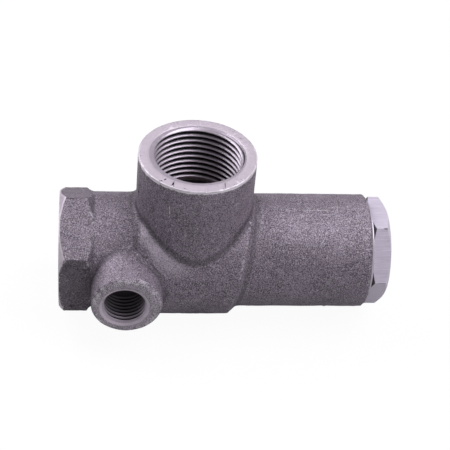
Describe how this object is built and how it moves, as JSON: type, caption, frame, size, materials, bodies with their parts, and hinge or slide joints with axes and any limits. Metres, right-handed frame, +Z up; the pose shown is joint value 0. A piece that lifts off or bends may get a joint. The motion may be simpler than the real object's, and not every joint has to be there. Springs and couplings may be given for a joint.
{
  "type": "minimum pressure valve",
  "caption": "Cast inline minimum pressure valve: hexagonal threaded inlet, threaded outlet and gauge ports, spring-loaded piston with a check plunger, and a hexagonal cap.",
  "frame": {"origin": "centre of the inlet's mouth, in the plane of the collar's outer face", "axes": "+X along the valve's axis from the inlet to the cap, +Z up along the outlet's axis, -Y towards the gauge connection"},
  "size_m": [0.0944, 0.0438, 0.0532],
  "materials": {
    "cast_metal": "shot-blasted casting, with bright machined faces",
    "cap_aluminium": "turned and milled, satin",
    "washer_aluminium": "smooth, bright",
    "piston_brass": "turned",
    "stainless_steel": "turned, bright",
    "spring_steel": "drawn wire, oiled",
    "seal_rubber": "moulded, dull",
    "ptfe": "bronze-filled bearing strip, dull"
  },
  "bodies": {
    "housing": {"valve_body": "cast_metal", "spring_cap": "cap_aluminium", "cap_washer": "washer_aluminium", "main_spring": "spring_steel", "adjusting_shim_1": "stainless_steel", "adjusting_shim_2": "stainless_steel", "spring_guide": "stainless_steel"},
    "piston": {"piston": "piston_brass", "nose_seal": "seal_rubber", "piston_o_ring": "seal_rubber", "front_guide_ring": "ptfe", "rear_guide_ring": "ptfe", "stem_bush": "ptfe", "piston_spring_washer": "stainless_steel"},
    "check_plunger": {"check_plunger": "piston_brass", "check_seal": "seal_rubber", "seal_washer": "stainless_steel", "lock_washer": "spring_steel", "seal_screw": "stainless_steel", "check_spring": "spring_steel"}
  },
  "joints": [
    {"name": "piston_slide", "type": "slide", "parent": "housing", "child": "piston", "axis": [1, 0, 0], "range_m": [0, 0.006], "stiffness_N_per_m": 10500, "springref_m": -0.016, "deforming": ["main_spring"]},
    {"name": "plunger_slide", "type": "slide", "parent": "housing", "child": "check_plunger", "axis": [1, 0, 0], "range_m": [0, 0.0045], "stiffness_N_per_m": 150, "springref_m": -0.004, "deforming": ["check_spring"]}
  ]
}
